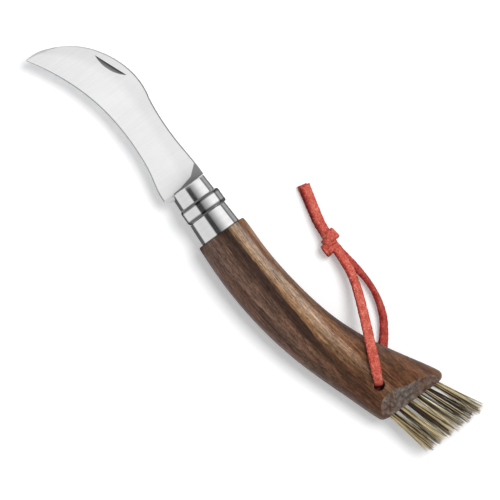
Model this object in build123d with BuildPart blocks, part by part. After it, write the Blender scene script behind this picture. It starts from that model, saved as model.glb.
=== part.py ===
"""Mushroom knife: a folding hooked blade, a locking ring, a curved wooden handle and a bristle brush.

The knife lies on its side. +X runs along the ferrule towards the open blade, +Y points to the side
that the cutting edge faces, and +Z is up, along the pivot pin. The origin is on the table, under the
middle of the knife's box without its lanyard. All lengths are millimetres.
"""
import math
import os
from build123d import *

os.makedirs("parts", exist_ok=True)

# Place of the ferrule's front centre in the frame
front_x = 31.5
front_y = 10.25

# Fits and cuts
overrun = 5.0
seat_gap = 0.05
pin_hole_gap = 0.03
blade_bore_gap = 0.06
ring_gap = 0.1
stop_gap = 0.3

# Handle
handle_length = 96.9
handle_front_radius = 10.5
handle_belly_sweep = 19.4
handle_back_sweep = 29.0
handle_end_radius = 2.4
handle_front_chamfer = 0.4
bevel_depth = 5.6
end_face_half_height = 3.1

# Ferrule
ferrule_length = 22.6
ferrule_front_radius = 7.75
ferrule_rear_radius = 8.75
ferrule_wall = 1.0
ferrule_lip = 0.3
tenon_setback = 1.6

# Lock ring
ring_start = 6.8
ring_width = 6.8
ring_wall = 1.35
ring_groove_depth = 0.25
ring_side_gap = 0.12
ring_edge_radius = 0.95
ring_mouth = 5.2
ring_mouth_radius = 1.4

# Pivot
pivot_setback = 10.2
pivot_offset = 2.4
pin_radius = 1.6
pin_dome = 0.35
closing_angle = 176.0

# Blade
blade_length = 76.7
blade_drop = 23.1
blade_thickness = 1.7
blade_face_step = 0.06
edge_thickness = 0.3
spine_chamfer = 0.45
spine_reach = 7.9
heel_reach = 11.1
shoulder_gap = 0.3
tang_back = 2.6
tang_front = 6.9
slot_side_gap = 0.3
slot_floor_gap = 1.2
slot_floor = 5.3
nick_length = 14.8
nick_depth = 0.6
nick_lean = 19.0
nick_place_share = (0.73, -0.131)
nick_turn = 22.5

# Brush
tuft_radius = 1.45
tuft_count = 6
tuft_pitch = 4.1
tuft_row_side = 23.75
tuft_row_height = 1.85
tuft_depth = 7.0
tuft_hole_end = 0.75
tuft_lean = 20.0
tuft_fan = 4.5
tuft_rise = 2.0
bristle_length = 21.0
bristle_radius = 0.16
bristle_count = 36
bristle_twist = 40.0
bristle_spread = 1.42
bristle_uneven_share = 0.12
bristle_uneven_steps = 11
anchor_thickness = 0.35
anchor_height = 1.2

# Lanyard
thong_radius = 1.4
arc_share = 0.45
lanyard_hole_radius = 2.25
lanyard_hole_flare = 0.4
lanyard_hole_back = 106.6
lanyard_hole_side = 15.7
knot_front = 45.0
knot_side = 33.4
knot_length = 11.0
knot_end_radius = 3.4
knot_radius = 4.2

# Values worked out from the sizes
axis_height = handle_front_radius
slot_width = blade_thickness + 2 * slot_side_gap
body_end = ferrule_length + handle_length
pivot_x = -pivot_setback
pivot_y = pivot_offset
knife = Plane(origin=(front_x, front_y, axis_height))
ferrule_axis = Axis((front_x, front_y, axis_height), (1, 0, 0))


def cross_plane(x):
    """The plane square to the ferrule's axis at x, with its own x along +Y and its own y up."""
    return Plane(origin=(front_x + x, front_y, axis_height), x_dir=(0, 1, 0), z_dir=(1, 0, 0))


def blend(start, end, share):
    """The value that lies at this share of the way from start to end."""
    return start + (end - start) * share


def closed(x, y):
    """Where a point of the open blade lies once the blade is folded."""
    angle = math.radians(closing_angle)
    dx = x - pivot_x
    dy = y - pivot_y
    turned_x = pivot_x + dx * math.cos(angle) - dy * math.sin(angle)
    turned_y = pivot_y + dx * math.sin(angle) + dy * math.cos(angle)
    return turned_x, turned_y


def ferrule_radius(x):
    """Outer radius of the plain ferrule cone at a distance behind its front."""
    return blend(ferrule_front_radius, ferrule_rear_radius, x / ferrule_length)


# Handle sections: along, belly swing, back swing, half height, and how square the section is
handle_station_shares = [
    (0.00, 0.000, 0.000, 1.000, 0.707),
    (0.15, -0.025, 0.012, 1.000, 0.707),
    (0.30, 0.010, 0.058, 0.990, 0.708),
    (0.45, 0.110, 0.145, 0.960, 0.712),
    (0.60, 0.283, 0.296, 0.880, 0.722),
    (0.72, 0.478, 0.482, 0.780, 0.738),
    (0.82, 0.660, 0.672, 0.700, 0.758),
    (0.91, 0.820, 0.855, 0.650, 0.778),
    (1.00, 1.000, 1.000, 0.620, 0.790),
]


def section_points(belly, back, half_height, square_share):
    """Eight points round one handle section, which is rounder or squarer by its share."""
    middle = blend(back, belly, 0.5)
    half_width = (belly - back) / 2
    inner_width = half_width * square_share
    inner_height = half_height * square_share
    return [
        (middle + half_width, 0),
        (middle + inner_width, inner_height),
        (middle, half_height),
        (middle - inner_width, inner_height),
        (middle - half_width, 0),
        (middle - inner_width, -inner_height),
        (middle, -half_height),
        (middle + inner_width, -inner_height),
    ]


# Blade outline, along from the ferrule's front and across from its axis
spine_hook_shares = [
    (1.000, 1.000),
    (1.003, 0.800),
    (0.970, 0.460),
    (0.900, 0.110),
    (0.818, -0.118),
    (0.716, -0.290),
    (0.590, -0.378),
    (0.480, -0.340),
]
spine_back_shares = [
    (0.480, -0.340),
    (0.350, -0.300),
    (0.210, -0.304),
    (0.085, -0.335),
]
edge_shares = [
    (0.075, 0.460),
    (0.162, 0.398),
    (0.266, 0.360),
    (0.440, 0.364),
    (0.588, 0.430),
    (0.717, 0.546),
    (0.830, 0.693),
    (0.933, 0.866),
    (1.000, 1.000),
]
grind_shares = [
    (0.075, -0.100),
    (0.162, -0.120),
    (0.266, -0.135),
    (0.440, -0.160),
    (0.588, -0.165),
    (0.717, -0.060),
    (0.830, 0.130),
    (0.920, 0.400),
    (0.990, 0.720),
]
tang_line_shares = [(0.080, -0.335), (0.030, -0.140), (0.010, 0.125)]


def blade_point(shares):
    """A point of the blade from its shares of the blade's length and drop."""
    return shares[0] * blade_length, shares[1] * blade_drop


spine_hook = [blade_point(s) for s in spine_hook_shares]
spine_back = [blade_point(s) for s in spine_back_shares] + [(shoulder_gap, -spine_reach)]
edge_line = [(shoulder_gap, heel_reach)] + [blade_point(s) for s in edge_shares]
grind_line = [(shoulder_gap, blade_point(grind_shares[0])[1])] + [blade_point(s) for s in grind_shares]
tang_line = [blade_point(s) for s in tang_line_shares]
tang_radius = tang_back + pivot_offset
heel_back = (-shoulder_gap, heel_reach - shoulder_gap)
heel_root = (-pin_radius, tang_front + stop_gap)

# The nick is the mark of a grinding wheel that leans on the blade's upper face
nick_slant = nick_depth / math.cos(math.radians(nick_lean))
nick_wheel_radius = ((nick_length / 2) ** 2 + nick_slant**2) / (2 * nick_slant)
nick_centre = blade_point(nick_place_share)
nick_along = Vector(1, 0, 0).rotate(Axis.Z, nick_turn)
nick_across = Vector(0, 1, 0).rotate(Axis.Z, nick_turn)
nick_plane = Plane(
    origin=knife.offset(blade_thickness / 2 - blade_face_step).from_local_coords(nick_centre),
    x_dir=nick_along,
    z_dir=nick_across.rotate(Axis(origin=(0, 0, 0), direction=nick_along), nick_lean),
)

# The mouths of the lanyard's hole, where the wood is about this high
hole_plane = Plane(origin=(front_x - lanyard_hole_back, front_y - lanyard_hole_side, axis_height))
hole_height_share = 0.665
lanyard_mouth_height = handle_front_radius * hole_height_share

# Ring groove and pin
ring_end = ring_start + ring_width
groove_radius = ferrule_radius(ring_start) - ring_groove_depth
ring_outer_radius = groove_radius + ring_gap + ring_wall
pin_reach = math.sqrt(groove_radius**2 - (pivot_offset + pin_radius) ** 2)

# The blade's slot follows the edge of the folded blade
slot_line = [(pivot_x - tang_radius / 2, -slot_floor)]
for open_point in edge_line:
    edge_x, edge_y = closed(*open_point)
    slot_line.append((edge_x, edge_y - slot_floor_gap))
tip_x, tip_y = closed(*blade_point(edge_shares[-1]))
slot_reach = math.hypot(tip_x - pivot_x, tip_y - pivot_y) + slot_floor_gap
slot_rim = [
    (pivot_x - slot_reach, tip_y),
    (pivot_x - slot_reach, handle_front_radius + overrun),
    (overrun, handle_front_radius + overrun),
    (overrun, -slot_floor),
    slot_line[0],
]

# The handle's end, and its tufts in two rows, one above the other, fanned a little
end_half_height = handle_front_radius * handle_station_shares[-1][3]
row_reach = (tuft_count - 1) * tuft_pitch / 2
tuft_places = []
for row_side in (1, -1):
    for index in range(tuft_count):
        across = index * tuft_pitch - row_reach
        lean = math.radians(tuft_lean - tuft_fan * across / row_reach)
        rise = math.radians(tuft_rise * row_side)
        place = knife.from_local_coords((-body_end, across - tuft_row_side, row_side * tuft_row_height))
        direction = Vector(-math.cos(lean), -math.sin(lean), math.sin(rise))
        tuft_places.append((place, direction))

# Blade
with BuildPart() as blade:
    with BuildSketch(knife.offset(edge_thickness / 2)) as ground_foot:
        with BuildLine():
            Spline(*spine_hook)
            Spline(*spine_back)
            Line(spine_back[-1], edge_line[0])
            Spline(*edge_line)
        make_face()
    with BuildSketch(knife.offset(blade_thickness / 2 - blade_face_step)):
        with BuildLine():
            Spline(grind_line[-1], *spine_hook[2:])
            Spline(*spine_back)
            Line(spine_back[-1], grind_line[0])
            Spline(*grind_line)
        make_face()
    loft(ruled=True)
    ground_top = blade.faces().sort_by(Axis.Z)[-1]
    spine_corners = ground_top.edges().filter_by(GeomType.BSPLINE).sort_by(SortBy.LENGTH)[:2]
    chamfer(spine_corners, spine_chamfer)
    extrude(ground_foot.sketch, amount=-edge_thickness / 2)
    mirror(about=knife)
    with BuildSketch(knife.offset(-blade_thickness / 2)):
        with Locations((pivot_x, pivot_y)):
            Circle(tang_radius)
        with Locations((pivot_x, tang_front)):
            Rectangle(2 * tang_radius, tang_radius, align=(Align.CENTER, Align.MIN), mode=Mode.SUBTRACT)
        with BuildLine():
            Polyline((shoulder_gap, -spine_reach), *tang_line, (shoulder_gap, heel_reach))
            ThreePointArc((shoulder_gap, heel_reach), heel_back, heel_root)
            Polyline(heel_root, (pivot_x, tang_front), (pivot_x, -tang_back), (shoulder_gap, -tang_back))
            Line((shoulder_gap, -tang_back), (shoulder_gap, -spine_reach))
        make_face()
    extrude(amount=blade_thickness)
    with BuildSketch(knife.offset(-blade_thickness)):
        with Locations((pivot_x, pivot_y)):
            Circle(pin_radius + blade_bore_gap)
    extrude(amount=2 * blade_thickness, mode=Mode.SUBTRACT)
    with BuildSketch(nick_plane):
        with Locations((0, nick_slant - nick_wheel_radius)):
            Circle(nick_wheel_radius)
    extrude(amount=nick_wheel_radius, mode=Mode.SUBTRACT)
blade.part.label = "blade"
export_step(blade.part, "parts/blade.step")

# Fixed ferrule, a cone with a groove for the ring and a slot for the blade
with BuildPart() as ferrule:
    with BuildSketch(knife):
        with BuildLine():
            Polyline(
                (0, ferrule_front_radius - ferrule_wall),
                (0, ferrule_front_radius - ferrule_lip),
                (-ferrule_lip, ferrule_front_radius),
                (-ring_start, ferrule_radius(ring_start)),
                (-ring_start, groove_radius),
                (-ring_end, groove_radius),
                (-ring_end, ferrule_radius(ring_end)),
                (-ferrule_length, ferrule_rear_radius),
                (-ferrule_length, ferrule_rear_radius - ferrule_wall),
                close=True,
            )
        make_face()
    revolve(axis=ferrule_axis)
    with BuildSketch(knife.offset(-slot_width / 2)):
        with Locations((overrun, 0)):
            Rectangle(
                ferrule_length + 2 * overrun,
                ferrule_rear_radius + overrun,
                align=(Align.MAX, Align.MIN),
            )
    extrude(amount=slot_width, mode=Mode.SUBTRACT)
    with BuildSketch(knife.offset(-ferrule_rear_radius)):
        with Locations((pivot_x, pivot_y)):
            Circle(pin_radius + pin_hole_gap)
    extrude(amount=2 * ferrule_rear_radius, mode=Mode.SUBTRACT)
ferrule.part.label = "ferrule"
export_step(ferrule.part, "parts/ferrule.step")

# Locking ring, a band with one mouth that lets the blade through
with BuildPart() as lock_ring:
    with BuildSketch(knife):
        with BuildLine():
            Polyline(
                (-ring_start - ring_side_gap, groove_radius + ring_gap),
                (-ring_start - ring_side_gap, ring_outer_radius),
                (-ring_end + ring_side_gap, ring_outer_radius),
                (-ring_end + ring_side_gap, groove_radius + ring_gap),
                close=True,
            )
        make_face()
    revolve(axis=ferrule_axis)
    with BuildSketch(Plane(origin=(front_x, front_y, axis_height), x_dir=(1, 0, 0), z_dir=(0, 1, 0))):
        with Locations((-(ring_start + ring_end) / 2, 0)):
            Rectangle(ring_width + 2 * overrun, ring_mouth)
    extrude(amount=ring_outer_radius + overrun, mode=Mode.SUBTRACT)
    fillet(lock_ring.edges().filter_by(Axis.Y), ring_mouth_radius)
    outer_edges = lock_ring.edges().filter_by(GeomType.CIRCLE).group_by(lambda edge: edge.radius)[-1]
    fillet(outer_edges, ring_edge_radius)
lock_ring.part.label = "lock_ring"
export_step(lock_ring.part, "parts/lock_ring.step")

# Pivot pin, with slightly domed ends that stay under the ring
with BuildPart() as pivot_pin:
    with BuildSketch(knife.offset(-pin_reach)):
        with Locations((pivot_x, pivot_y)):
            Circle(pin_radius)
    extrude(amount=2 * pin_reach)
    chamfer(pivot_pin.edges().filter_by(GeomType.CIRCLE), pin_dome)
pivot_pin.part.label = "pivot_pin"
export_step(pivot_pin.part, "parts/pivot_pin.step")

# Handle, one curved piece of wood with a round stem inside the ferrule
with BuildPart() as handle:
    for along, belly_swing, back_swing, height, square in handle_station_shares:
        with BuildSketch(cross_plane(-blend(ferrule_length, body_end, along))):
            belly = handle_front_radius - handle_belly_sweep * belly_swing
            back = -handle_front_radius - handle_back_sweep * back_swing
            points = section_points(belly, back, handle_front_radius * height, square)
            with BuildLine():
                Spline(*points, periodic=True)
            make_face()
    loft()
    fillet(handle.faces().sort_by(Axis.X)[0].edges(), handle_end_radius)
    chamfer(handle.faces().sort_by(Axis.X)[-1].edges(), handle_front_chamfer)
    for side in (-1, 1):
        with BuildSketch(Plane(origin=(front_x, front_y, axis_height), x_dir=(1, 0, 0), z_dir=(0, -1, 0))):
            with BuildLine():
                Polyline(
                    (-body_end - overrun, side * end_face_half_height),
                    (-body_end, side * end_face_half_height),
                    (-body_end + bevel_depth, side * end_half_height),
                    (-body_end + bevel_depth, side * handle_front_radius),
                    (-body_end - overrun, side * handle_front_radius),
                    close=True,
                )
            make_face()
        extrude(amount=handle_front_radius + handle_back_sweep + overrun, both=True, mode=Mode.SUBTRACT)
    with BuildSketch(knife):
        with BuildLine():
            Polyline(
                (-tenon_setback, 0),
                (-tenon_setback, ferrule_radius(tenon_setback) - ferrule_wall - seat_gap),
                (-ferrule_length, ferrule_rear_radius - ferrule_wall - seat_gap),
                (-ferrule_length - overrun, ferrule_rear_radius - ferrule_wall - seat_gap),
                (-ferrule_length - overrun, 0),
                close=True,
            )
        make_face()
    revolve(axis=ferrule_axis)
    with BuildSketch(knife.offset(-slot_width / 2)):
        with BuildLine():
            Spline(*slot_line)
            Polyline(slot_line[-1], *slot_rim)
        make_face()
    extrude(amount=slot_width, mode=Mode.SUBTRACT)
    with BuildSketch(knife.offset(-handle_front_radius)):
        with Locations((pivot_x, pivot_y)):
            Circle(pin_radius + pin_hole_gap)
        with Locations((-lanyard_hole_back, -lanyard_hole_side)):
            Circle(lanyard_hole_radius)
    extrude(amount=2 * handle_front_radius, mode=Mode.SUBTRACT)
    for side in (-1, 1):
        with Locations(hole_plane.offset(side * lanyard_mouth_height)):
            Cone(
                lanyard_hole_radius + max(side, 0) * lanyard_hole_flare,
                lanyard_hole_radius + max(-side, 0) * lanyard_hole_flare,
                2 * lanyard_hole_flare,
                mode=Mode.SUBTRACT,
            )
    for place, direction in tuft_places:
        with BuildSketch(Plane(origin=place, z_dir=direction).offset(tuft_radius)):
            Circle(tuft_radius + seat_gap)
        extrude(amount=-tuft_radius - tuft_depth - tuft_hole_end, mode=Mode.SUBTRACT)
handle.part.label = "handle"
export_step(handle.part, "parts/handle.step")


def tuft_bristles(plane, seed):
    """Straight strands that start in the tuft's root and spread towards uneven ends."""
    golden_turn = math.pi * (3 - math.sqrt(5))
    strands = []
    for index in range(bristle_count):
        radius = (tuft_radius - bristle_radius) * math.sqrt((index + 0.5) / bristle_count)
        angle = index * golden_turn + seed
        root = Vector(radius * math.cos(angle), radius * math.sin(angle), 0)
        step = (index * 7 + seed * 5) % bristle_uneven_steps
        reach = bristle_length * (1 - bristle_uneven_share * step / bristle_uneven_steps)
        end = Vector(root.X * bristle_spread, root.Y * bristle_spread, reach)
        with BuildSketch(plane, mode=Mode.PRIVATE) as strand:
            with Locations((root.X, root.Y)):
                RegularPolygon(bristle_radius, 3, rotation=index * bristle_twist)
        direction = plane.from_local_coords(end) - plane.from_local_coords(root)
        strands.append(Solid.extrude(strand.sketch.faces()[0], direction))
    return strands


# Tufts of bristle, each one packed in its hole
for number, (place, direction) in enumerate(tuft_places):
    root_plane = Plane(origin=place, z_dir=direction).offset(-seat_gap)
    with BuildPart() as tuft:
        with BuildSketch(root_plane.offset(bristle_radius)):
            Circle(tuft_radius)
        extrude(amount=-tuft_depth)
        add(tuft_bristles(root_plane, number))
    tuft.part.label = f"tuft_{number + 1:02d}"
    export_step(tuft.part, f"parts/{tuft.part.label}.step")

# Flat wires that hold the folded tufts at the bottom of their holes
with BuildPart() as tuft_anchors:
    for place, direction in tuft_places:
        with BuildSketch(Plane(origin=place, z_dir=direction).offset(-tuft_depth - 2 * seat_gap)):
            Rectangle(2 * tuft_radius - anchor_height / 2, anchor_height)
        extrude(amount=-anchor_thickness)
tuft_anchors.part.label = "tuft_anchors"
export_step(tuft_anchors.part, "parts/tuft_anchors.step")

# Lanyard routes, from the middle of the handle's hole through the knot to the cut end
upper_route = [
    (-106.6, -15.7, 10.5),
    (-106.6, -15.7, 19.8),
    (-98.0, -19.4, 20.8),
    (-88.0, -23.8, 17.6),
    (-77.0, -28.4, 12.4),
    (-66.5, -32.0, 8.0),
    (-57.0, -33.3, 5.9),
    (-44.5, -33.5, 5.6),
    (-35.0, -35.4, 4.7),
    (-26.2, -37.4, 4.6),
]
lower_route = [
    (-106.6, -15.7, 10.5),
    (-106.6, -15.7, 1.6),
    (-99.5, -22.4, 1.5),
    (-93.0, -28.2, 1.6),
    (-86.0, -32.8, 1.5),
    (-77.0, -35.4, 1.6),
    (-67.0, -35.8, 1.7),
    (-57.0, -33.7, 2.4),
    (-44.5, -33.3, 2.4),
    (-35.0, -35.2, 1.6),
    (-26.0, -37.6, 1.5),
]


def corner_radii(points):
    """The largest radius that each corner's two runs allow."""
    radii = []
    for before, corner, after in zip(points, points[1:], points[2:]):
        turn = (corner - before).get_angle(after - corner)
        shorter = min((corner - before).length, (after - corner).length)
        radii.append(arc_share * shorter / math.tan(math.radians(turn / 2)))
    return radii


def thong(name, route, radius):
    """A tube along a route of straight runs and tangent arcs."""
    points = [Vector(front_x + x, front_y + y, z) for x, y, z in route]
    radii = corner_radii(points)
    with BuildPart() as tube:
        with BuildLine():
            line = FilletPolyline(*points, radius=radii)
        with BuildSketch(Plane(origin=points[0], z_dir=points[1] - points[0])):
            Circle(radius)
        sweep(path=line)
    section = math.pi * radius**2
    print(name, "length", round(line.length, 2), "least radius", round(min(radii), 2))
    print(name, "radii", [round(r, 1) for r in radii])
    print(name, "volume", round(tube.part.volume, 2), "section times length", round(section * line.length, 2))
    return tube


lanyard_upper = thong("lanyard_upper", upper_route, thong_radius)
lanyard_upper.part.label = "lanyard_upper"
export_step(lanyard_upper.part, "parts/lanyard_upper.step")
lanyard_lower = thong("lanyard_lower", lower_route, thong_radius)
lanyard_lower.part.label = "lanyard_lower"
export_step(lanyard_lower.part, "parts/lanyard_lower.step")

# Knot, a barrel with a way through for each strand
knot_front_rim = (0, knot_end_radius)
knot_back_rim = (-knot_length, knot_end_radius)
with BuildPart() as lanyard_knot:
    with BuildSketch(Plane(origin=(front_x - knot_front, front_y - knot_side, knot_radius))):
        with BuildLine():
            Polyline(knot_back_rim, (-knot_length, 0), (0, 0), knot_front_rim)
            ThreePointArc(knot_front_rim, (-knot_length / 2, knot_radius), knot_back_rim)
        make_face()
    revolve(axis=Axis((front_x, front_y - knot_side, knot_radius), (1, 0, 0)))
    add(thong("upper way", upper_route, thong_radius + seat_gap).part, mode=Mode.SUBTRACT)
    add(thong("lower way", lower_route, thong_radius + seat_gap).part, mode=Mode.SUBTRACT)
lanyard_knot.part.label = "lanyard_knot"
export_step(lanyard_knot.part, "parts/lanyard_knot.step")
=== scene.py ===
"""Looks of the mushroom knife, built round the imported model. Lengths are in metres."""

import math
import random

import bpy
from mathutils import Matrix, Vector, noise


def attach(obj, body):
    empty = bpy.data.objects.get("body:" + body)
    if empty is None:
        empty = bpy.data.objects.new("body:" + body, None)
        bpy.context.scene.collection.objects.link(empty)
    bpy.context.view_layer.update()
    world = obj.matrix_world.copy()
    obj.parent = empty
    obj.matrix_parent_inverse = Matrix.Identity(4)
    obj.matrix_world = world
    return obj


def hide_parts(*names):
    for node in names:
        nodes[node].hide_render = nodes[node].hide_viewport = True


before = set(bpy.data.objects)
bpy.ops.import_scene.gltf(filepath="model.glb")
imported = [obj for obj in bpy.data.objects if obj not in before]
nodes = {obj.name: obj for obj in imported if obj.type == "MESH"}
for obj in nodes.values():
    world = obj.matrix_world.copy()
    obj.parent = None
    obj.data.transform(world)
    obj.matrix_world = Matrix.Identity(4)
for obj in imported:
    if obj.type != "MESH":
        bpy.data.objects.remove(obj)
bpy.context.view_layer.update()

MM = 0.001
# The ferrule's front centre, seen from above. Places in millimetres are counted from here and the table
FRONT = Vector((31.5, 10.25, 0.0)) * MM
# The height of the knife's middle plane, in millimetres and in metres
AXIS_RISE = 10.5
AXIS_HEIGHT = AXIS_RISE * MM
# Sizes of the solids, in millimetres
FERRULE_LENGTH, HANDLE_LENGTH = 22.6, 96.9
BODY_END = FERRULE_LENGTH + HANDLE_LENGTH
RING_START, RING_END = 6.8, 13.6
HOLE_PLACE = (-106.6, -15.7)
HANDLE_BODY = "handle_body"

# Camera
IMAGE_RIGHT = Vector((-0.581, -0.814, 0.0)).normalized()
IMAGE_UP = Vector((0.814, -0.581, 0.0)).normalized()
VIEW_CENTRE = Vector((-3.16, 4.88, AXIS_RISE)) * MM
VIEW_WIDTH = 196.0 * MM
CAMERA_LENS = 160.0
SENSOR = 36.0
CLIP_NEAR, CLIP_FAR = 0.05, 10.0

camera_data = bpy.data.cameras.new("camera")
camera_data.lens = CAMERA_LENS
camera_data.sensor_width = SENSOR
camera_data.clip_start = CLIP_NEAR
camera_data.clip_end = CLIP_FAR
camera = bpy.data.objects.new("camera", camera_data)
bpy.context.scene.collection.objects.link(camera)
distance = VIEW_WIDTH * CAMERA_LENS / SENSOR
view_back = IMAGE_RIGHT.cross(IMAGE_UP)
turn = Matrix((IMAGE_RIGHT, IMAGE_UP, view_back)).transposed().to_4x4()
camera.matrix_world = Matrix.Translation(VIEW_CENTRE + view_back * distance) @ turn
bpy.context.scene.camera = camera


# Material tools
class Maker:
    """A material's node tree with short calls for its nodes."""

    def __init__(self, name):
        self.material = bpy.data.materials.new(name)
        self.material.use_nodes = True
        self.tree = self.material.node_tree
        self.tree.nodes.clear()
        self.output = self.tree.nodes.new("ShaderNodeOutputMaterial")
        self.shader = self.tree.nodes.new("ShaderNodeBsdfPrincipled")
        self.link(self.shader.outputs[0], self.output.inputs[0])

    def link(self, source, target):
        self.tree.links.new(source, target)

    def node(self, kind, inputs=None, **settings):
        """A new node with these inputs, each a number, a colour or another node's output."""
        made = self.tree.nodes.new(kind)
        for key, value in settings.items():
            setattr(made, key, value)
        for key, value in (inputs or {}).items():
            self.put(made.inputs[key], value)
        return made

    def put(self, socket, value):
        if isinstance(value, bpy.types.NodeSocket):
            self.link(value, socket)
        else:
            socket.default_value = value

    def set(self, **inputs):
        """Sets the shader's own inputs, whose names have _ for a space."""
        for key, value in inputs.items():
            self.put(self.shader.inputs[key.replace("_", " ")], value)

    def coordinates(self):
        return self.node("ShaderNodeTexCoord").outputs["Object"]

    def split(self, vector):
        return self.node("ShaderNodeSeparateXYZ", {0: vector}).outputs

    def facing_up(self):
        """One where the surface faces up or down, zero where it is upright."""
        normal = self.node("ShaderNodeTexCoord").outputs["Normal"]
        return self.math("ABSOLUTE", self.split(normal)[2])

    def attribute(self, name):
        return self.node("ShaderNodeAttribute", attribute_name=name).outputs["Fac"]

    def mapped(self, vector, location=(0, 0, 0), rotation=(0, 0, 0), scale=(1, 1, 1)):
        inputs = {"Vector": vector, "Location": location, "Rotation": rotation, "Scale": scale}
        return self.node("ShaderNodeMapping", inputs).outputs[0]

    def noise(self, vector, scale, detail=2.0, roughness=0.5):
        inputs = {"Vector": vector, "Scale": scale, "Detail": detail, "Roughness": roughness}
        return self.node("ShaderNodeTexNoise", inputs).outputs["Fac"]

    def ramp(self, factor, stops, interpolation="LINEAR"):
        """A colour that follows the factor through stops of (place, colour)."""
        made = self.node("ShaderNodeValToRGB", {"Fac": factor})
        made.color_ramp.interpolation = interpolation
        elements = made.color_ramp.elements
        while len(elements) < len(stops):
            elements.new(0.5)
        for element, (place, colour) in zip(elements, stops):
            element.position = place
            element.color = (*colour, 1.0)
        return made.outputs["Color"]

    def grey(self, factor, stops):
        """A level that follows the factor through stops of (place, level)."""
        return self.ramp(factor, [(place, (value,) * 3) for place, value in stops])

    def math(self, operation, first, second=0.5, clamp=False):
        inputs = {0: first, 1: second}
        return self.node("ShaderNodeMath", inputs, operation=operation, use_clamp=clamp).outputs[0]

    def mix(self, factor, first, second, blend_type="MIX"):
        """One colour turned into another by the factor. Inputs 6 and 7 and output 2 are the colours."""
        made = self.node("ShaderNodeMix", data_type="RGBA", blend_type=blend_type)
        for socket, value in ((0, factor), (6, first), (7, second)):
            self.put(made.inputs[socket], value)
        return made.outputs[2]

    def times(self, first, second):
        return self.mix(1.0, first, second, "MULTIPLY")

    def bump(self, height, strength, distance):
        inputs = {"Height": height, "Strength": strength, "Distance": distance}
        return self.node("ShaderNodeBump", inputs).outputs[0]


def dress(obj, material):
    """Gives an object this one material in every slot."""
    if not obj.material_slots:
        obj.data.materials.append(material)
    for slot in obj.material_slots:
        slot.material = material


def mesh_object(name, vertices, faces, attribute=None, values=()):
    """A new mesh in the scene, with the attribute's value at each vertex if one is named."""
    mesh = bpy.data.meshes.new(name)
    mesh.from_pydata([tuple(vertex) for vertex in vertices], [], faces)
    mesh.update()
    if attribute:
        mesh.attributes.new(attribute, "FLOAT", "POINT").data.foreach_set("value", values)
    obj = bpy.data.objects.new(name, mesh)
    bpy.context.scene.collection.objects.link(obj)
    return obj


# Steel
POLISH_DEPTH = 0.01 * MM


def steel_material(name, tint, roughness, line_scale, rims=()):
    """Polished steel with very fine lines. Each rim is a dark band painted round it: painted shade where the
    ferrule meets the blade and the wood, and the painted dark reflection of the ring's rounded edges.
    """
    made = Maker(name)
    place = made.coordinates()
    lines = made.noise(made.mapped(place, scale=line_scale), 1.0, detail=3.0, roughness=0.6)
    cloud = made.noise(place, 120.0, detail=2.0)
    level = made.math("ADD", made.math("MULTIPLY", lines, 0.6), made.math("MULTIPLY", cloud, 0.4))
    colour = made.grey(level, [(0.3, tint * 0.95), (0.7, tint * 1.04)])
    along = made.split(place)[0]
    # Each rim paints a dark band into the colour: painted shade on the ferrule, painted reflection on the
    # ring
    for middle, reach, blend, dark in rims:
        off = made.math("ABSOLUTE", made.math("SUBTRACT", along, FRONT.x + middle * MM))
        inside = made.math("DIVIDE", made.math("SUBTRACT", off, (reach - blend) * MM), blend * MM, clamp=True)
        colour = made.mix(inside, (dark, dark, dark, 1.0), colour)
    rough = made.grey(level, [(0.3, roughness * 0.85), (0.7, roughness * 1.2)])
    made.set(Base_Color=colour, Roughness=rough, Metallic=1.0)
    made.set(Normal=made.bump(lines, 0.03, POLISH_DEPTH))
    return made.material


# The nail nick's middle and turn, its half length, its reach to each side of its line, and its heights
NICK_MIDDLE = FRONT + Vector((55.99, -3.03, 0.0)) * MM
NICK_TURN = math.radians(22.5)
NICK_HALF, NICK_SPINE_SIDE, NICK_EDGE_SIDE = 7.5 * MM, -0.5 * MM, 1.86 * MM
NICK_FLOOR, FACE_TOP = 10.66 * MM, 11.285 * MM
# The tip's place along x
BLADE_TIP = 108.5 * MM
# The tang, thicker than the blade's faces, is raw where it passes this height over the middle plane, and up
# to this place along y. Beyond that is the heel
RAW_HEIGHT, RAW_REACH = 0.82 * MM, 16.5 * MM
# The lighter grey of the edge faces round the hook, a painted highlight
HOOK_PAINTED_HIGHLIGHT = (0.60, 0.60, 0.60, 1.0)


def between(made, value, low, high):
    """One where low < value < high."""
    return made.math("MULTIPLY", made.math("GREATER_THAN", value, low), made.math("LESS_THAN", value, high))


def nick_mask(made, place):
    """One inside the nail nick, and how far a point lies from the line along the nick."""
    inputs = {"Vector": place, "Center": (*NICK_MIDDLE.xy, 0.0), "Axis": (0, 0, 1), "Angle": -NICK_TURN}
    turned = made.split(made.node("ShaderNodeVectorRotate", inputs).outputs[0])
    off_line = made.math("SUBTRACT", turned[1], NICK_MIDDLE.y)
    along = between(made, turned[0], NICK_MIDDLE.x - NICK_HALF, NICK_MIDDLE.x + NICK_HALF)
    across = between(made, off_line, NICK_SPINE_SIDE, NICK_EDGE_SIDE)
    sunk = between(made, made.split(place)[2], NICK_FLOOR, FACE_TOP)
    return made.math("MULTIPLY", along, made.math("MULTIPLY", across, sunk)), off_line


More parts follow.
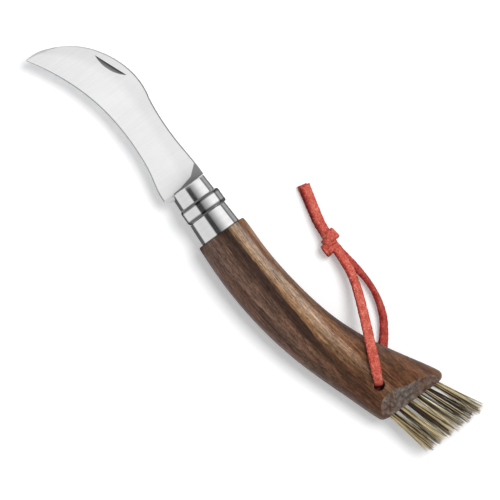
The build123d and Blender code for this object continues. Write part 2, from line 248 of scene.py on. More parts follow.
def blade_material():
    """Satin stainless steel: raw and dark at the tang, raw in the nick with painted shade there, painted dark
    reflections on the narrow edge faces, and a thin painted shadow line at the cutting edge.
    """
    made = Maker("blade_steel")
    place = made.coordinates()
    along, side, rise = made.split(place)
    lines = made.noise(made.mapped(place, rotation=(0, 0, 0.5), scale=(1100, 70, 300)), 1.0, detail=3.0)
    cloud = made.noise(place, 42.0, detail=3.0)
    level = made.math("ADD", made.math("MULTIPLY", lines, 0.35), made.math("MULTIPLY", cloud, 0.65))
    ground = made.grey(level, [(0.32, 0.79), (0.68, 0.89)])
    # The narrow edge faces get a dark grey: a painted reflection
    edges = made.grey(level, [(0.3, 0.20), (0.7, 0.28)])
    raw = made.grey(level, [(0.3, 0.22), (0.7, 0.34)])
    # Round the hook the narrow edges catch the light: a painted highlight, lighter than the painted dark
    # reflection elsewhere
    hook = made.grey(made.math("DIVIDE", along, BLADE_TIP), [(0.72, 0.0), (0.88, 1.0)])
    edges = made.mix(hook, edges, HOOK_PAINTED_HIGHLIGHT)
    flat = made.grey(made.facing_up(), [(0.72, 0.0), (0.78, 1.0)])
    # By the height over the middle plane in millimetres: where the faces thin down to the cutting edge, a
    # thin painted shadow line, and towards the spine's full thickness a little painted shade
    height = made.math("ABSOLUTE", made.math("SUBTRACT", rise, AXIS_HEIGHT))
    edge_shade_levels = [(0.155, 0.20), (0.178, 1.0), (0.62, 1.0), (0.80, 0.91)]
    painted_edge_shade = made.grey(made.math("DIVIDE", height, MM), edge_shade_levels)
    colour = made.mix(flat, edges, made.times(ground, painted_edge_shade))
    tang = made.math("GREATER_THAN", height, RAW_HEIGHT)
    tang = made.math("MULTIPLY", tang, made.math("LESS_THAN", side, RAW_REACH))
    colour = made.mix(tang, colour, raw)
    nick, off_line = nick_mask(made, place)
    depth = made.math("DIVIDE", off_line, NICK_EDGE_SIDE, clamp=True)
    # Painted shade in the nail nick, darkest on its spine side
    colour = made.mix(nick, colour, made.grey(depth, [(0.0, 0.085), (0.35, 0.16), (1.0, 0.30)]))
    rough = made.grey(made.math("ADD", tang, nick, clamp=True), [(0.0, 0.33), (1.0, 0.55)])
    made.set(Base_Color=colour, Roughness=rough, Metallic=1.0)
    made.set(Normal=made.bump(lines, 0.04, POLISH_DEPTH))
    return made.material


# The dark rims, in millimetres: place along x, half width and blend, and then their level. On the ferrule
# they are painted shade where it meets the blade and the wood; on the ring they are the painted dark
# reflection of its rounded edges
FERRULE_PAINTED_SHADE_RIMS = [(0.0, 0.35, 0.2, 0.30), (-FERRULE_LENGTH, 0.35, 0.2, 0.35)]
RING_PAINTED_REFLECTION_RIMS = [(-RING_START, 1.85, 0.6, 0.16), (-RING_END, 1.85, 0.6, 0.16)]
# Each steel node: its material's name, tint, roughness, scale of its lines, and painted dark rims
STEELS = [
    ("ferrule", "ferrule_steel", 0.86, 0.14, (900, 60, 60), FERRULE_PAINTED_SHADE_RIMS),
    ("lock_ring", "ring_steel", 0.86, 0.13, (900, 60, 60), RING_PAINTED_REFLECTION_RIMS),
    ("pivot_pin", "pin_steel", 0.60, 0.3, (300, 300, 50), ()),
    ("tuft_anchors", "wire_steel", 0.52, 0.35, (300, 300, 50), ()),
]
dress(nodes["blade"], blade_material())
for node_name, *look in STEELS:
    dress(nodes[node_name], steel_material(*look))


# Walnut
# Streaks of the board, in millimetres across it, and their colours. The pale band from about -2.8 to -6.5 is
# partly the wood's colour and partly a painted sheen along the handle's ridge
WALNUT_STREAKS_AND_SHEEN = [
    (14.0, (0.080, 0.040, 0.026)),
    (11.6, (0.125, 0.058, 0.036)),
    (9.8, (0.105, 0.053, 0.036)),
    (7.8, (0.120, 0.069, 0.049)),
    (5.6, (0.099, 0.055, 0.038)),
    (3.9, (0.097, 0.052, 0.034)),
    (2.6, (0.047, 0.023, 0.015)),
    (1.1, (0.029, 0.014, 0.009)),
    (-0.5, (0.036, 0.017, 0.011)),
    (-1.5, (0.175, 0.090, 0.042)),
    (-2.8, (0.260, 0.152, 0.084)),
    (-4.9, (0.265, 0.178, 0.120)),
    (-6.5, (0.205, 0.134, 0.090)),
    (-7.6, (0.128, 0.052, 0.028)),
    (-8.9, (0.185, 0.085, 0.032)),
    (-10.4, (0.100, 0.048, 0.028)),
    (-11.8, (0.052, 0.026, 0.017)),
    (-13.6, (0.165, 0.080, 0.034)),
    (-16.0, (0.090, 0.046, 0.028)),
    (-18.2, (0.145, 0.068, 0.030)),
    (-20.6, (0.068, 0.035, 0.021)),
    (-23.5, (0.130, 0.064, 0.032)),
    (-27.0, (0.085, 0.045, 0.028)),
]
WALNUT_LEFT, WALNUT_RIGHT = WALNUT_STREAKS_AND_SHEEN[0][0], WALNUT_STREAKS_AND_SHEEN[-1][0]
# The wood's tint from the collar (0) to the brush (1), where it is darker and redder. The greyer, lighter
# lift towards the collar is a painted sheen
WALNUT_TINT_AND_SHEEN = [
    (0.0, (1.08, 1.17, 1.24)),
    (0.5, (1.06, 1.04, 1.0)),
    (0.68, (0.95, 0.90, 0.86)),
    (0.86, (0.76, 0.64, 0.56)),
    (1.0, (0.86, 0.74, 0.65)),
]
# How far the grain bends towards the brush and how fast, how far the streaks wander, and how they tilt
GRAIN_BEND, GRAIN_BEND_POWER = 13.3 * MM, 1.9
GRAIN_WANDER, GRAIN_TILT = 8.5 * MM, 0.22
GRAIN_DEPTH = 0.06 * MM
# The width of the dark line against the collar, in millimetres
COLLAR_LINE = 0.35
# What the wood's colour turns to near the brush, in the pores and in the line against the collar
REAR_BROWN = (0.122, 0.060, 0.031, 1.0)
PORE_BROWN = (0.016, 0.008, 0.006, 1.0)
COLLAR_BROWN = (0.03, 0.016, 0.012, 1.0)

# The end's flat face and its bevels, in millimetres, and the bulge of the worn grey on the belly's side
END_HALF, BEVEL_DEPTH, BEVEL_RISE, END_MARGIN = 3.1, 5.6, 3.41, 0.09
END_BELLY_MIDDLE, END_BELLY_HALF, END_SWELL = FRONT.y - 17.5 * MM, 7.5 * MM, 2.0 * MM


def straight_board(made, place):
    """A point's place in the straight board, its share along the handle, and its place across the board."""
    x, y, z = made.split(place)
    start = FRONT.x - FERRULE_LENGTH * MM
    along = made.math("DIVIDE", made.math("SUBTRACT", start, x), HANDLE_LENGTH * MM, clamp=True)
    # The grain bends a little less than the handle does
    bend = made.math("MULTIPLY", made.math("POWER", along, GRAIN_BEND_POWER), GRAIN_BEND)
    across = made.math("ADD", made.math("SUBTRACT", y, FRONT.y), bend)
    board = made.node("ShaderNodeCombineXYZ", {0: x, 1: across, 2: z}).outputs[0]
    return board, along, across


def streak_and_sheen_colour(made, board, across, rise):
    """The board's long streaks, which wander a little and tilt with the height, and the pale band that is
    partly a painted sheen.
    """
    wander = made.noise(made.mapped(board, scale=(24, 110, 110)), 1.0, detail=4.0, roughness=0.6)
    shift = made.math("MULTIPLY", made.math("SUBTRACT", wander, 0.5), GRAIN_WANDER)
    tilt = made.math("MULTIPLY", made.math("SUBTRACT", rise, AXIS_HEIGHT), GRAIN_TILT)
    figure = made.math("ADD", made.math("ADD", across, shift), tilt)
    reach = WALNUT_LEFT - WALNUT_RIGHT
    share = made.math("DIVIDE", made.math("SUBTRACT", WALNUT_LEFT * MM, figure), reach * MM, clamp=True)
    stops = [((WALNUT_LEFT - side) / reach, colour) for side, colour in WALNUT_STREAKS_AND_SHEEN]
    return made.ramp(share, stops, "EASE")


def end_mask(made, place):
    """One on the sawn end and its bevels, and a little past them on the side of the belly."""
    x, y, z = made.split(place)
    height = made.math("ABSOLUTE", made.math("SUBTRACT", z, AXIS_HEIGHT))
    slope = made.math("MULTIPLY", made.math("SUBTRACT", height, END_HALF * MM), BEVEL_DEPTH / BEVEL_RISE)
    edge = made.math("ADD", made.math("MAXIMUM", slope, 0.0), FRONT.x + (END_MARGIN - BODY_END) * MM)
    off = made.math("DIVIDE", made.math("SUBTRACT", y, END_BELLY_MIDDLE), END_BELLY_HALF)
    swell = made.math("SUBTRACT", 1.0, made.math("MULTIPLY", off, off), clamp=True)
    edge = made.math("ADD", edge, made.math("MULTIPLY", swell, END_SWELL))
    return made.math("LESS_THAN", x, edge)


def end_grain(made, place):
    """Mottled end grain, grey with russet patches."""
    mottle = made.noise(made.mapped(place, scale=(500, 620, 620)), 1.0, detail=4.0, roughness=0.75)
    patch = made.noise(made.mapped(place, location=(0.1, 0.4, 0.2), scale=(150, 150, 150)), 1.0, detail=2.0)
    greys = [(0.32, (0.050, 0.035, 0.028)), (0.50, (0.125, 0.098, 0.082)), (0.67, (0.225, 0.190, 0.166))]
    russets = [(0.34, (0.045, 0.024, 0.017)), (0.50, (0.118, 0.070, 0.050)), (0.64, (0.205, 0.138, 0.106))]
    russet = made.grey(patch, [(0.42, 0.0), (0.60, 1.0)])
    return made.mix(russet, made.ramp(mottle, greys), made.ramp(mottle, russets))


def walnut_material():
    """Oiled walnut cut from one board: long brown, orange and near black streaks and small open pores."""
    made = Maker("walnut")
    place = made.coordinates()
    x, _, rise = made.split(place)
    board, along, across = straight_board(made, place)
    brown = streak_and_sheen_colour(made, board, across, rise)
    # Towards the brush the streaks stand out less
    brown = made.mix(made.grey(along, [(0.50, 0.0), (0.80, 0.62)]), brown, REAR_BROWN)
    fine = made.noise(made.mapped(board, scale=(95, 1500, 1300)), 1.0, detail=4.0, roughness=0.75)
    fleck = made.noise(made.mapped(board, scale=(430, 1600, 1600)), 1.0, detail=3.0, roughness=0.8)
    broad = made.noise(made.mapped(board, location=(0.3, 0.1, 0.2), scale=(16, 330, 200)), 1.0, detail=3.0)
    colour = made.times(brown, made.grey(fine, [(0.36, 0.54), (0.62, 1.48)]))
    colour = made.times(colour, made.grey(broad, [(0.32, 0.66), (0.68, 1.34)]))
    colour = made.times(colour, made.grey(fleck, [(0.36, 0.62), (0.64, 1.42)]))
    # The tint along the handle, with the painted sheen near the collar
    colour = made.times(colour, made.ramp(along, WALNUT_TINT_AND_SHEEN))
    pores = made.noise(made.mapped(board, scale=(300, 2300, 2300)), 1.0, detail=1.0)
    pore = made.grey(pores, [(0.29, 1.0), (0.36, 0.0)])
    colour = made.mix(made.math("MULTIPLY", pore, 0.85), colour, PORE_BROWN)
    # Painted shade: the sides darken where the surface turns upright. The edge against the collar is darker
    # too
    colour = made.times(colour, made.grey(made.facing_up(), [(0.0, 0.50), (0.36, 1.0)]))
    front = made.math("GREATER_THAN", x, FRONT.x - (FERRULE_LENGTH + COLLAR_LINE) * MM)
    colour = made.mix(made.math("MULTIPLY", front, 0.7), colour, COLLAR_BROWN)
    colour = made.mix(end_mask(made, place), colour, end_grain(made, place))
    rough = made.grey(fine, [(0.3, 0.46), (0.7, 0.36)])
    relief = made.math("SUBTRACT", made.math("MULTIPLY", fine, 0.5), pore)
    made.set(Base_Color=colour, Roughness=rough, Normal=made.bump(relief, 0.5, GRAIN_DEPTH))
    made.set(Specular_IOR_Level=0.14)
    return made.material


dress(nodes["handle"], walnut_material())


# Lanyard
THONG_WIDTH, THONG_THICKNESS = 3.9 * MM, 1.7 * MM
NAP_DEPTH = 0.14 * MM
# How far the cut edges wander on the strands and on the knot, how finely, and the share of it that goes up
STRAND_WOBBLE, KNOT_WOBBLE, WOBBLE_SCALE, WOBBLE_UP_SHARE = 0.1 * MM, 0.12 * MM, 1100, 0.6
# Steps in the noise from one seed to the next, and from what goes across to what goes up
SEED_STEP, UP_STEP = 7.3, Vector((5, 9, 2))
SPLINE_STEPS = 24


def local(points):
    """Points given from the ferrule's front and the table, in millimetres, as frame points in metres."""
    return [FRONT + Vector(point) * MM for point in points]


def spline_points(name, route):
    """Points along the smooth spline that has the route's points as its control points."""
    curve = bpy.data.curves.new(name, "CURVE")
    curve.dimensions = "3D"
    curve.resolution_u = SPLINE_STEPS
    spline = curve.splines.new("NURBS")
    spline.points.add(len(route) - 1)
    for point, place in zip(spline.points, route):
        point.co = (*place, 1.0)
    spline.order_u = 3
    spline.use_endpoint_u = True
    holder = bpy.data.objects.new(name, curve)
    bpy.context.scene.collection.objects.link(holder)
    bpy.context.view_layer.update()
    mesh = bpy.data.meshes.new_from_object(holder.evaluated_get(bpy.context.evaluated_depsgraph_get()))
    points = [vertex.co.copy() for vertex in mesh.vertices]
    bpy.data.objects.remove(holder)
    bpy.data.meshes.remove(mesh)
    bpy.data.curves.remove(curve)
    return points


def leather_material(name, shade):
    """Red suede: a napped, speckled surface that is a deeper red along its cut edges."""
    made = Maker(name)
    place = made.coordinates()
    nap = made.noise(place, 1500.0, detail=4.0, roughness=0.8)
    cloud = made.noise(place, 330.0, detail=2.0)
    level = made.math("ADD", made.math("MULTIPLY", nap, 0.75), made.math("MULTIPLY", cloud, 0.25))
    faces = [
        (0.36, (0.30, 0.034, 0.026)),
        (0.46, (0.50, 0.082, 0.056)),
        (0.55, (0.62, 0.140, 0.094)),
        (0.66, (0.80, 0.34, 0.25)),
    ]
    cuts = [(0.40, (0.26, 0.020, 0.018)), (0.52, (0.44, 0.056, 0.043)), (0.64, (0.78, 0.30, 0.24))]
    colour = made.mix(made.attribute("rim"), made.ramp(level, faces), made.ramp(level, cuts))
    made.set(Base_Color=made.times(colour, shade), Roughness=0.95, Normal=made.bump(level, 0.9, NAP_DEPTH))
    made.set(Specular_IOR_Level=0.15)
    return made.material


leather = leather_material("red_leather", (1.0, 1.0, 1.0, 1.0))
# The lower strand is a darker copy of the leather, a painted shade
leather_painted_shade = leather_material("red_leather_painted_shade", (0.74, 0.56, 0.58, 1.0))


# Shares of the strap's section: its corner, the points along a face, and how far a face and an edge bulge
CORNER_SHARE, FACE_SHARES, FACE_BULGE, EDGE_BULGE = 0.24, (0.62, 0.2, -0.2, -0.62), 1.04, 1.01
# How much of a cut edge a corner is
CORNER_RIM = 0.75


def section_outline():
    """The strap's flat section with small round corners: across, up, and how much of a cut edge it is."""
    half_width, half_height, corner = THONG_WIDTH / 2, THONG_THICKNESS / 2, THONG_THICKNESS * CORNER_SHARE
    outline = []
    for side_x, side_y, first in ((1, 1, 0), (-1, 1, 90), (-1, -1, 180), (1, -1, 270)):
        middle_x, middle_y = side_x * (half_width - corner), side_y * (half_height - corner)
        for angle in (first, first + 45, first + 90):
            out_x, out_y = math.cos(math.radians(angle)), math.sin(math.radians(angle))
            outline.append((middle_x + corner * out_x, middle_y + corner * out_y, CORNER_RIM))
        if side_x == side_y:
            for share in FACE_SHARES:
                outline.append((side_x * share * half_width, side_y * half_height * FACE_BULGE, 0.0))
        else:
            outline.append((side_x * half_width * EDGE_BULGE, 0.0, 1.0))
    return outline


def strap_mesh(name, runs, wobble, seed, closed=False):
    """Flat straps, one for each run of points, width directions, and shares of the width and thickness."""
    outline = section_outline()
    count = len(outline)
    vertices, rims, faces = [], [], []
    for points, sides, widths, heights in runs:
        first = len(vertices)
        total = len(points)
        for index, (point, side, wide, high) in enumerate(zip(points, sides, widths, heights)):
            before = points[(index - 1) % total if closed else max(index - 1, 0)]
            after = points[(index + 1) % total if closed else min(index + 1, total - 1)]
            tangent = (after - before).normalized()
            across = (side - tangent * side.dot(tangent)).normalized()
            up = tangent.cross(across).normalized()
            for a, b, rim in outline:
                place = point + across * a * wide + up * b * high
                seen = place * WOBBLE_SCALE + Vector((seed * SEED_STEP, 0, 0))
                place += across * wobble * noise.noise(seen) * (1 + rim)
                place += up * wobble * WOBBLE_UP_SHARE * noise.noise(seen + UP_STEP)
                vertices.append(place)
                rims.append(rim)
        for ring in range(total if closed else total - 1):
            for corner in range(count):
                a, b = ring * count + corner, ring * count + (corner + 1) % count
                next_ring = (ring + 1) % total * count
                c, d = next_ring + (corner + 1) % count, next_ring + corner
                faces.append(tuple(first + v for v in (a, d, c, b)))
        if not closed:
            faces.append(tuple(first + corner for corner in range(count)))
            faces.append(tuple(first + (total - 1) * count + corner for corner in reversed(range(count))))
    obj = mesh_object(name, vertices, faces, "rim", rims)
    obj.data.shade_smooth()
    return obj


def keyed(count, keys):
    """A vector or a number at each of count points, blended between keys of (share, value)."""
    values = []
    for index in range(count):
        share = index / (count - 1)
        for (s0, v0), (s1, v1) in zip(keys, keys[1:]):
            if share <= s1:
                t = (share - s0) / (s1 - s0)
                t = t * t * (3 - 2 * t)
                values.append(v0 * (1 - t) + v1 * t)
                break
    return values


# The strands' routes, from the middle of the handle's hole through the knot to the cut end
UPPER_ROUTE = [
    (*HOLE_PLACE, AXIS_RISE),
    (*HOLE_PLACE, 19.8),
    (-98.0, -19.4, 20.8),
    (-88.0, -23.8, 17.6),
    (-77.1, -28.6, 12.4),
    (-66.9, -32.4, 8.0),
    (-57.0, -33.4, 5.9),
    (-44.5, -33.5, 5.6),
    (-35.0, -35.7, 4.7),
    (-26.2, -37.9, 4.6),
]
LOWER_ROUTE = [
    (*HOLE_PLACE, AXIS_RISE),
    (*HOLE_PLACE, 1.6),
    (-99.8, -22.8, 1.7),
    (-93.3, -28.7, 2.2),
    (-86.4, -33.4, 2.5),
    (-77.3, -36.1, 2.6),
    (-67.2, -36.1, 2.4),
    (-57.0, -33.8, 2.6),
    (-44.5, -33.0, 2.4),
    (-35.0, -34.9, 1.7),
    (-25.6, -37.0, 1.5),
]
upper_points = spline_points("upper_line", local(UPPER_ROUTE))
lower_points = spline_points("lower_line", local(LOWER_ROUTE))
# The direction of each strand's width, by the share of its length
FLAT = Vector((0.50, 0.86, 0.0))
UPPER_SIDES = [
    (0.0, FLAT),
    (0.16, FLAT),
    (0.30, Vector((0.42, 0.88, 0.12))),
    (0.55, Vector((0.34, 0.72, 0.66))),
    (0.72, Vector((0.1, 0.82, 0.56))),
    (1.0, Vector((0.05, 0.92, 0.35))),
]
LOWER_SIDES = [
    (0.0, FLAT),
    (0.2, Vector((0.5, 0.75, 0.42))),
    (0.38, Vector((0.42, 0.56, 0.95))),
    (0.55, Vector((0.28, 0.46, 1.35))),
    (0.72, Vector((0.1, 0.80, 0.50))),
    (1.0, Vector((0.05, 1.0, 0.1))),
]
# Shares of the strap's width and thickness, by the share of its length. In the hole it is drawn in,
# and the lower strand is crumpled and fills the way through
WIDTHS = [(0.0, 0.86), (0.09, 0.90), (0.15, 1.0), (1.0, 1.0)]
UPPER_HEIGHTS = [(0.0, 1.0), (1.0, 1.0)]
LOWER_HEIGHTS = [(0.0, 2.2), (0.05, 2.2), (0.11, 1.0), (1.0, 1.0)]


def strap(name, points, sides, heights, seed):
    """One free strand of the thong."""
    count = len(points)
    run = (points, keyed(count, sides), keyed(count, WIDTHS), keyed(count, heights))
    return strap_mesh(name, [run], STRAND_WOBBLE, seed)


lanyard_upper = strap("lanyard_upper_strap", upper_points, UPPER_SIDES, UPPER_HEIGHTS, seed=1)
lanyard_lower = strap("lanyard_lower_strap", lower_points, LOWER_SIDES, LOWER_HEIGHTS, seed=2)

# The knot is the wraps of the doubled thong, each a closed band round both strands
KNOT_MIDDLE = FRONT + Vector((-50.2, -33.1, 4.2)) * MM
# Each band's place to the right and up as the camera sees it, the heading of its run in degrees there,
# its half length and half height, how many degrees it leans, and its share of the strap's width
KNOT_BANDS = [
    (0.0, 2.05, 52.0, 2.0, 3.35, 10.0, 1.2),
    (-0.35, -0.2, 46.0, 1.75, 3.05, 6.0, 0.95),
    (-0.9, -3.05, -38.0, 1.7, 2.6, 8.0, 0.95),
    (0.25, -3.2, 52.0, 1.55, 3.1, 4.0, 0.66),
]
BAND_STEPS = 56
# How crisp a band's folds and its crown are, and how far it slides and twists from one fold to the other
FOLD_POWER, CROWN_POWER, BAND_SLIDE, BAND_TWIST = 0.86, 0.92, 0.25, 0.12


def band_points(right, up, heading, half_length, half_height, lean):
    """A closed band with a crisp fold at each end of its run over the knot."""
    centre = KNOT_MIDDLE + (IMAGE_RIGHT * right + IMAGE_UP * up) * MM
    turn = math.radians(heading)
    run = IMAGE_RIGHT * math.cos(turn) + IMAGE_UP * math.sin(turn)
    across = IMAGE_RIGHT * math.sin(turn) - IMAGE_UP * math.cos(turn)
    slope = math.tan(math.radians(lean))
    points, sides = [], []
    for step in range(BAND_STEPS):
        angle = 2 * math.pi * step / BAND_STEPS
        c, s = math.cos(angle), math.sin(angle)
        y = half_length * math.copysign(abs(c) ** FOLD_POWER, c)
        z = half_height * math.copysign(abs(s) ** CROWN_POWER, s)
        slide = across * (slope * y + BAND_SLIDE * c)
        points.append(centre + (run * y + slide + Vector((0, 0, z))) * MM)
        sides.append(across - run * slope + Vector((0, 0, BAND_TWIST * c)))
    return points, sides


def knot_mesh():
    """The knot's bands as one piece."""
    runs = []
    for *place, width in KNOT_BANDS:
        points, sides = band_points(*place)
        runs.append((points, sides, [width] * BAND_STEPS, [1.0] * BAND_STEPS))
    return strap_mesh("lanyard_knot_wraps", runs, KNOT_WOBBLE, seed=5, closed=True)


knot = knot_mesh()
LANYARD = [
    (lanyard_upper, "lanyard_upper", leather),
    (lanyard_lower, "lanyard_lower", leather_painted_shade),
    (knot, "lanyard_knot", leather),
]
for piece, node, material in LANYARD:
    dress(piece, material)
    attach(piece, HANDLE_BODY)
    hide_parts(node)


# Bristles
def bristle_material():
    """Natural bristle: each strand has its own tone, from near black to straw."""
    made = Maker("bristle")
    tones = [
        (0.00, (0.018, 0.012, 0.007)),
        (0.50, (0.052, 0.032, 0.016)),
        (0.55, (0.180, 0.120, 0.052)),
        (0.60, (0.600, 0.460, 0.215)),
        (0.78, (0.880, 0.705, 0.390)),
        (1.00, (1.000, 0.920, 0.630)),
    ]
    mottle = made.noise(made.mapped(made.coordinates(), scale=(250, 900, 900)), 1.0, detail=2.0)
    mottle = made.grey(mottle, [(0.3, 0.75), (0.7, 1.12)])
    colour = made.times(made.ramp(made.attribute("tone"), tones), mottle)
    made.set(Base_Color=colour, Roughness=0.5, Specular_IOR_Level=0.35)
    return made.material


bristle = bristle_material()
# The tufts' places and leans are those of the solids, in millimetres and degrees
TUFT_COUNT = 6
TUFT_LEAN, TUFT_FAN, TUFT_RISE = 20.0, 4.5, 2.0
TUFT_PITCH, TUFT_ROW_HEIGHT, TUFT_RADIUS = 4.1, 1.85, 1.45
TUFT_ROW_SIDE = 23.75
BRISTLE_LENGTH, BRISTLE_ROOT, BRISTLE_INSET = 21.0, 0.8, 0.12
STRANDS = 46
SEGMENTS, CORNERS = 5, 4
# How much shorter a strand may be, how fast it spreads, and how much it tapers, as shares and powers
UNEVEN_SHARE, UNEVEN_POWER, SPREAD_POWER, TAPER_SHARE = 0.09, 1.2, 1.3, 0.62
# A strand's spread across its tuft and up: a share of its place in the root, what chance adds to that
# share, and how far it strays in millimetres
SPREAD_ACROSS, SPREAD_UP = (0.75, 0.45, 0.42), (0.15, 0.3, 0.2)
# How far it bows, and its least half width and what chance adds to it, in millimetres
BOW, LEAST_HALF, MORE_HALF = 0.1, 0.10, 0.06
# Neighbours share a part of their tone: the scales of these clumps across, up and from tuft to tuft, their
# contrast and middle, and then what the clump and chance each give to the tone
CLUMP_SCALES, CLUMP_CONTRAST, CLUMP_MIDDLE = (2.6, 0.5, 3.1), 1.7, 0.5
CLUMP_SHARE, CHANCE_SHARE = 0.38, 0.62
FIRST_SEED = 4000


def tuft_places():
    """The root and direction of each tuft, the upper row first."""
    reach = (TUFT_COUNT - 1) * TUFT_PITCH / 2
    for side in (1, -1):
        for index in range(TUFT_COUNT):
            across = index * TUFT_PITCH - reach
            lean = math.radians(TUFT_LEAN - TUFT_FAN * across / reach)
            rise = math.radians(TUFT_RISE * side)
            root = Vector((-BODY_END, across - TUFT_ROW_SIDE, AXIS_RISE + side * TUFT_ROW_HEIGHT))
            yield FRONT + root * MM, Vector((-math.cos(lean), -math.sin(lean), math.sin(rise))).normalized()


def spread(draw, place, share, chance, stray):
    """How far a strand's end moves from its place in the root: a share of that place, and chance."""
    return place * (share + chance * draw.random()) + draw.gauss(0, stray)


def bristle_line(draw, index, seed):
    """A strand's places along, across, up and its half width, in millimetres from its root, and its tone."""
    radius = (TUFT_RADIUS - BRISTLE_INSET) * math.sqrt((index + 0.5) / STRANDS)
    angle = index * math.pi * (3 - math.sqrt(5)) + seed
    u, v = radius * math.cos(angle), radius * math.sin(angle)
    reach = BRISTLE_LENGTH * (1 - UNEVEN_SHARE * draw.random() ** UNEVEN_POWER)
    spread_u = spread(draw, u, *SPREAD_ACROSS)
    spread_v = spread(draw, v, *SPREAD_UP)
    bow_u, bow_v = draw.gauss(0, BOW), draw.gauss(0, BOW)
    thick = LEAST_HALF + MORE_HALF * draw.random()
    scale_u, scale_v, scale_tuft = CLUMP_SCALES
    clump = noise.noise(Vector((u * scale_u, v * scale_v, seed * scale_tuft)))
    clump = clump * CLUMP_CONTRAST + CLUMP_MIDDLE
    tone = min(1.0, max(0.0, CLUMP_SHARE * clump + CHANCE_SHARE * draw.random()))
    line = []
    for step in range(SEGMENTS + 1):
        t = step / SEGMENTS
        along = reach * t - BRISTLE_ROOT * (1 - t)
        across = u + spread_u * t**SPREAD_POWER + bow_u * math.sin(math.pi * t)
        up = v + spread_v * t**SPREAD_POWER + bow_v * math.sin(math.pi * t)
        line.append((along, across, up, thick * (1 - TAPER_SHARE * t * t)))
    return line, tone


def tuft_mesh(name, root, direction, seed):
    """One tuft of straight, stiff strands that taper to a point and spread towards their ends."""
    draw = random.Random(FIRST_SEED + seed)
    side = direction.cross(Vector((0, 0, 1))).normalized()
    up = side.cross(direction).normalized()
    vertices, tones, faces = [], [], []
    for index in range(STRANDS):
        line, tone = bristle_line(draw, index, seed)
        base = len(vertices)
        for along, across, rise, width in line:
            centre = root + (direction * along + side * across + up * rise) * MM
            for corner in range(CORNERS):
                angle = 2 * math.pi * corner / CORNERS + index
                vertices.append(centre + (side * math.cos(angle) + up * math.sin(angle)) * width * MM)
                tones.append(tone)
        for step in range(SEGMENTS):
            for corner in range(CORNERS):
                a = base + step * CORNERS + corner
                b = base + step * CORNERS + (corner + 1) % CORNERS
                faces.append((a, b, b + CORNERS, a + CORNERS))
        faces.append(tuple(base + corner for corner in reversed(range(CORNERS))))
        faces.append(tuple(base + SEGMENTS * CORNERS + corner for corner in range(CORNERS)))
    obj = mesh_object(name, vertices, faces, "tone", tones)
    obj.data.shade_smooth()
    return obj


for number, (root, direction) in enumerate(tuft_places()):
    piece = tuft_mesh(f"bristles_{number + 1:02d}", root, direction, number)
    dress(piece, bristle)
    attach(piece, HANDLE_BODY)
    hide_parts(f"tuft_{number + 1:02d}")


# Floor, light and world
AMBIENT = 0.47
STUDIO_TINT, WHITE = (0.97, 0.98, 1.0, 1.0), (1.0, 1.0, 1.0, 1.0)
FLOOR_HALF, FLOOR_DROP = 3.0, 0.1 * MM
FLOOR_GLOW = 0.23
# Beyond the lamp's reach, from the first distance in metres to the second, the floor glows more
FLOOR_FAR, FLOOR_FAR_GLOW = (0.16, 0.75), 0.8


def seen_rays(tree):
    """One for a ray from the camera, and for one that metal or glass passes on."""
    rays = tree.nodes.new("ShaderNodeLightPath").outputs
    seen = rays["Is Camera Ray"]
    for name in ("Is Glossy Ray", "Is Transmission Ray"):
        either = tree.nodes.new("ShaderNodeMath")
        either.operation = "ADD"
        either.use_clamp = True
        tree.links.new(seen, either.inputs[0])
        tree.links.new(rays[name], either.inputs[1])
        seen = either.outputs[0]
    return seen


def floor_material():
    """A white floor that keeps the knife's shadow and stays white out to the horizon."""
    made = Maker("floor")
    grain = made.noise(made.coordinates(), 40.0)
    made.set(Base_Color=made.grey(grain, [(0.0, 0.895), (1.0, 0.905)]), Roughness=0.9, Specular_IOR_Level=0.0)
    away = made.node("ShaderNodeVectorMath", {0: made.coordinates()}, operation="LENGTH").outputs["Value"]
    near, far = FLOOR_FAR
    share = made.math("DIVIDE", made.math("SUBTRACT", away, near), far - near, clamp=True)
    glow = made.math("ADD", made.math("MULTIPLY", share, FLOOR_FAR_GLOW), FLOOR_GLOW)
    made.set(Emission_Color=WHITE, Emission_Strength=made.math("MULTIPLY", seen_rays(made.tree), glow))
    return made.material


def lay_floor():
    """The floor, just under what lies on it."""
    corners = [(x * FLOOR_HALF, y * FLOOR_HALF, 0) for x, y in ((-1, -1), (1, -1), (1, 1), (-1, 1))]
    floor = mesh_object("floor", corners, [(0, 1, 2, 3)])
    floor.location = (0, 0, -FLOOR_DROP)
    dress(floor, floor_material())


def light_world():
    """Even studio light on the knife, and plain white for the camera and for what metal and glass show."""
    world = bpy.data.worlds.new("world")
    bpy.context.scene.world = world
    world.use_nodes = True
    tree = world.node_tree
    tree.nodes.clear()
    pick = tree.nodes.new("ShaderNodeMixShader")
    tree.links.new(seen_rays(tree), pick.inputs[0])
    for socket, colour, strength in ((1, STUDIO_TINT, AMBIENT), (2, WHITE, 1.0)):
        background = tree.nodes.new("ShaderNodeBackground")
        background.inputs[0].default_value = colour
        background.inputs[1].default_value = strength
        tree.links.new(background.outputs[0], pick.inputs[socket])
    output = tree.nodes.new("ShaderNodeOutputWorld")
    tree.links.new(pick.outputs[0], output.inputs[0])


lay_floor()
light_world()


def soft_box(name, toward, reach, side, power):
    """A square lamp that looks at the knife from a direction and doesn't show in the metal."""
    data = bpy.data.lights.new(name, "AREA")
    data.shape = "RECTANGLE"
    data.size, data.size_y = side, side
    data.energy = power
    obj = bpy.data.objects.new(name, data)
    bpy.context.scene.collection.objects.link(obj)
    toward = toward.normalized()
    aim = (-toward).to_track_quat("-Z", "Y").to_matrix().to_4x4()
    obj.matrix_world = Matrix.Translation(VIEW_CENTRE + toward * reach) @ aim
    obj.visible_glossy = False


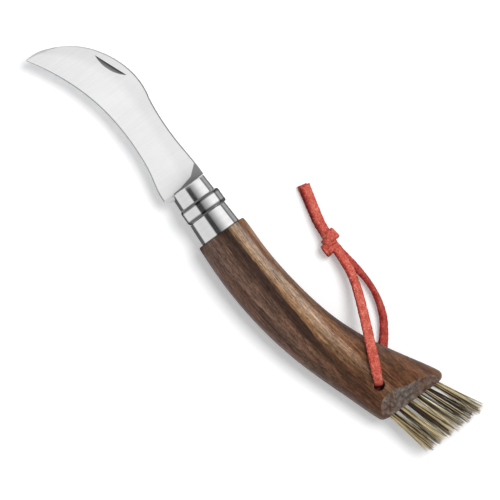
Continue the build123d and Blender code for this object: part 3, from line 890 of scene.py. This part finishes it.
# The lamp stands high, and a little to the upper right of the picture
KEY_TOWARD = (IMAGE_RIGHT * 0.80 + IMAGE_UP * 0.60) * 0.38 + Vector((0, 0, 0.93))
soft_box("key", KEY_TOWARD, reach=0.95, side=0.36, power=6.0)


def glow_material(strength):
    """Light that only reflections see; its level comes from the mesh."""
    made = Maker("reflected")
    made.tree.nodes.remove(made.shader)
    level = made.math("MULTIPLY", made.attribute("glow"), strength)
    shader = made.node("ShaderNodeEmission", {"Strength": level})
    made.link(shader.outputs[0], made.output.inputs[0])
    return made.material


def reflector(name, vertices, glows, faces, strength=1.0):
    """A card that shows only in reflections."""
    card = mesh_object(name, vertices, faces, "glow", glows)
    dress(card, glow_material(strength))
    card.visible_camera = False
    card.visible_diffuse = False
    card.visible_transmission = False
    card.visible_shadow = False


# A drum of cards over the collar, in millimetres. Each pair is a place across the collar, as a share of its
# radius from left to right in the picture, and the level that it reflects there
DRUM_RADIUS, COLLAR_RADIUS = 22.0, 8.6
DRUM_FRONT, DRUM_BACK, DRUM_FOOT = 1.5, -25.0, 0.3
COLLAR_GLOWS = [
    (-0.995, 0.13),
    (-0.85, 0.10),
    (-0.81, 0.80),
    (-0.50, 0.75),
    (-0.21, 0.80),
    (-0.17, 0.05),
    (0.02, 0.05),
    (0.07, 0.24),
    (0.22, 0.50),
    (0.38, 0.84),
    (0.50, 1.00),
    (0.72, 1.02),
    (0.75, 0.13),
    (0.79, 0.15),
    (0.82, 0.40),
    (0.92, 0.42),
    (0.94, 0.12),
    (0.995, 0.10),
]


def collar_drum():
    """Cards whose levels the collar's round top shows as lengthwise stripes."""
    vertices, glows, faces = [], [], []
    for place, glow in COLLAR_GLOWS:
        tilt = math.asin(place)
        start = Vector((math.sin(tilt), math.cos(tilt))) * COLLAR_RADIUS
        ray = Vector((math.sin(2 * tilt), math.cos(2 * tilt)))
        reach = -start.dot(ray) + math.sqrt(start.dot(ray) ** 2 + DRUM_RADIUS**2 - COLLAR_RADIUS**2)
        hit = start + ray * reach
        for x in (DRUM_FRONT, DRUM_BACK):
            vertices.append(FRONT + Vector((x, -hit.x, max(AXIS_RISE + hit.y, DRUM_FOOT))) * MM)
            glows.append(glow)
    for a in range(0, 2 * len(COLLAR_GLOWS) - 2, 2):
        faces.append((a, a + 1, a + 3, a + 2))
    reflector("collar_drum", vertices, glows, faces)


collar_drum()

# A low grey wall round the blade, so that it does not fade into the white when it is seen from the side.
# The levels go by the height over the blade
WALL_ROUTE = [(-11, -32), (-9, -62), (28, -78), (88, -62), (108, -5), (88, 55), (28, 66), (-9, 50), (-11, 30)]
WALL_LEVELS = [(-9.0, 0.50), (8.0, 0.62), (48.0, 0.95)]


def blade_wall():
    """A wall along the route that only the blade's reflections show."""
    vertices, glows, faces = [], [], []
    for x, y in WALL_ROUTE:
        for rise, glow in WALL_LEVELS:
            vertices.append(FRONT + Vector((x, y, AXIS_RISE + rise)) * MM)
            glows.append(glow)
    rows = len(WALL_LEVELS)
    for a in range(0, rows * (len(WALL_ROUTE) - 1), rows):
        for row in range(rows - 1):
            faces.append((a + row, a + row + 1, a + rows + row + 1, a + rows + row))
    reflector("blade_wall", vertices, glows, faces)


blade_wall()

# A long low strip of light along the handle's far side, for the satin sheen on the wood
STRIP_ENDS, STRIP_SIDE, STRIP_RISES = (-260.0, -20.0), -250.0, (45.0, 120.0)
strip = [(x, STRIP_SIDE, rise) for rise in STRIP_RISES for x in STRIP_ENDS]
reflector("sheen_strip", local(strip), [1.0] * 4, [(0, 1, 3, 2)], strength=12.0)

bpy.context.scene.view_settings.view_transform = "Standard"
